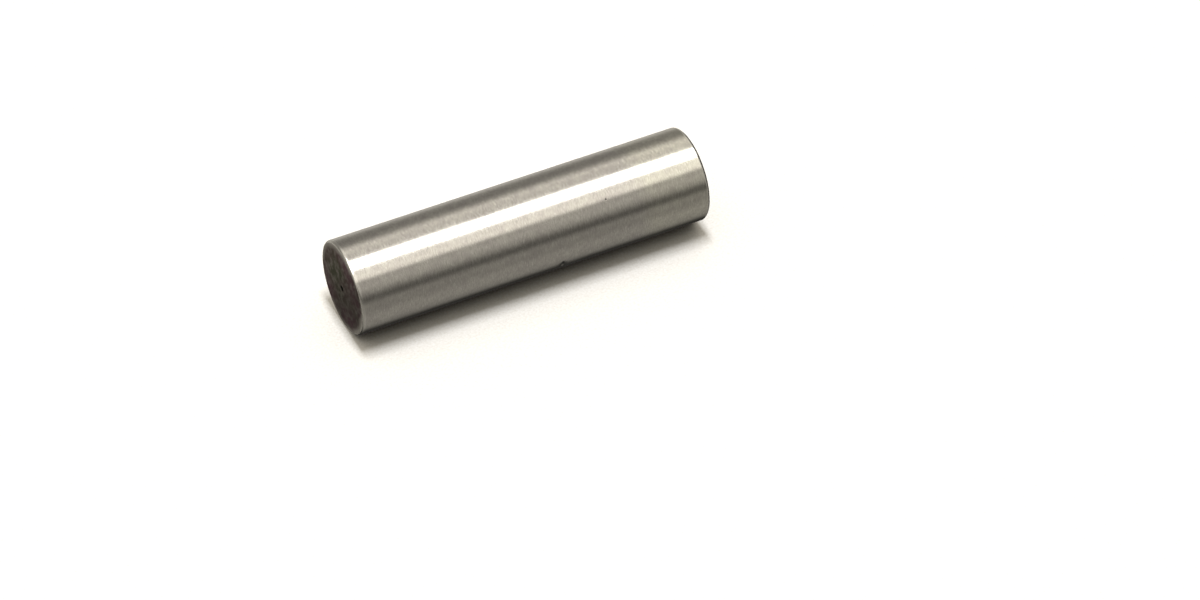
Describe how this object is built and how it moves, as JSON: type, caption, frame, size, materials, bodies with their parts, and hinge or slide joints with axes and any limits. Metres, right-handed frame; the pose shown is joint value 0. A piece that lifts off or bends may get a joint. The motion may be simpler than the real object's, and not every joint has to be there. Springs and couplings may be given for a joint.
{
  "type": "gudgeon pin",
  "caption": "Solid ground-steel gudgeon pin with rounded edges and a centre mark in each flat end; it joins a small engine's piston to its connecting rod.",
  "frame": {"origin": "centre of the lower end face", "axes": "+Z along the pin's axis, up from the end that it stands on; X and Y are free, because the pin is round"},
  "size_m": [0.004, 0.004, 0.0156],
  "materials": {
    "ground_steel": "centreless-ground bright side, with the end faces and their edges left dark grey from hardening"
  },
  "bodies": {
    "root": {"gudgeon_pin": "ground_steel"}
  },
  "joints": []
}
